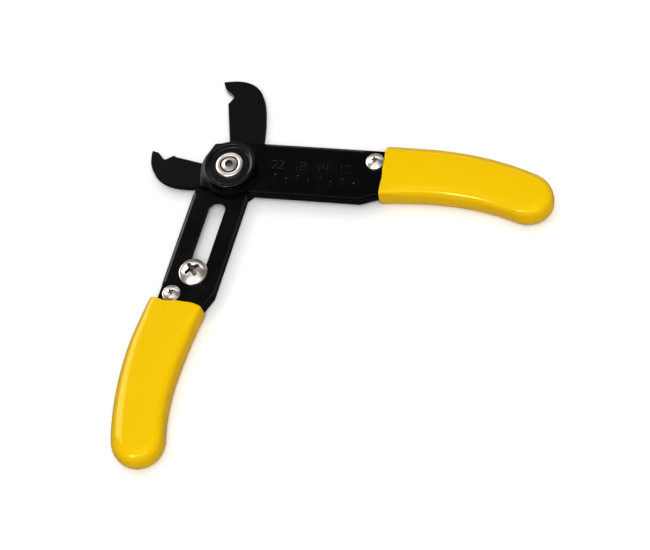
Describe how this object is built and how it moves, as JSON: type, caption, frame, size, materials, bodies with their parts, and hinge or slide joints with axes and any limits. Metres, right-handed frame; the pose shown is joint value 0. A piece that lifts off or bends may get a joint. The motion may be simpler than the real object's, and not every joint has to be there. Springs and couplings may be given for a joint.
{
  "type": "adjustable wire stripper",
  "caption": "Plier-type wire stripper and cutter: crossed black steel halves with notched jaws, a slotted handle with a stop screw, and curved yellow dipped grips.",
  "frame": {"origin": "on the pivot axis, at the back face of the pivot screw, which lies on the table", "axes": "+X along the right handle, from the pivot to its grip; +Z along the pivot axis, from the table towards the pivot screw's head"},
  "size_m": [0.1283, 0.1348, 0.0123],
  "materials": {
    "black_enamel": "gloss black enamel on pressed steel",
    "blade_steel": "satin black oxide on ground tool steel",
    "bright_steel": "bright nickel-plated steel",
    "yellow_vinyl": "glossy dipped vinyl"
  },
  "bodies": {
    "right_half": {"right_handle": "black_enamel", "right_blade": "blade_steel", "right_grip": "yellow_vinyl", "right_spacer": "bright_steel", "right_handle_screw": "bright_steel", "pivot_sleeve": "bright_steel", "pivot_screw": "bright_steel", "pivot_nut": "bright_steel", "cup_washer": "black_enamel", "back_washer": "bright_steel"},
    "left_half": {"left_handle": "black_enamel", "left_blade": "blade_steel", "left_grip": "yellow_vinyl", "left_spacer": "bright_steel", "left_handle_screw": "bright_steel"},
    "stop_carriage": {"stop_nut": "bright_steel", "stop_lock_washer": "bright_steel"},
    "stop_screw": {"stop_screw": "bright_steel"}
  },
  "joints": [
    {"name": "handle_pivot", "type": "hinge", "parent": "right_half", "child": "left_half", "pos_m": [0, 0, 0], "axis": [0, 0, 1], "range_deg": [-8, 68]},
    {"name": "stop_slide", "type": "slide", "parent": "left_half", "child": "stop_carriage", "axis": [0.1045, 0.9945, 0], "range_m": [0, 0.0125]},
    {"name": "stop_screw_turn", "type": "hinge", "parent": "stop_carriage", "child": "stop_screw", "pos_m": [-0.00478, -0.0364, 0], "axis": [0, 0, 1], "continuous": true}
  ]
}
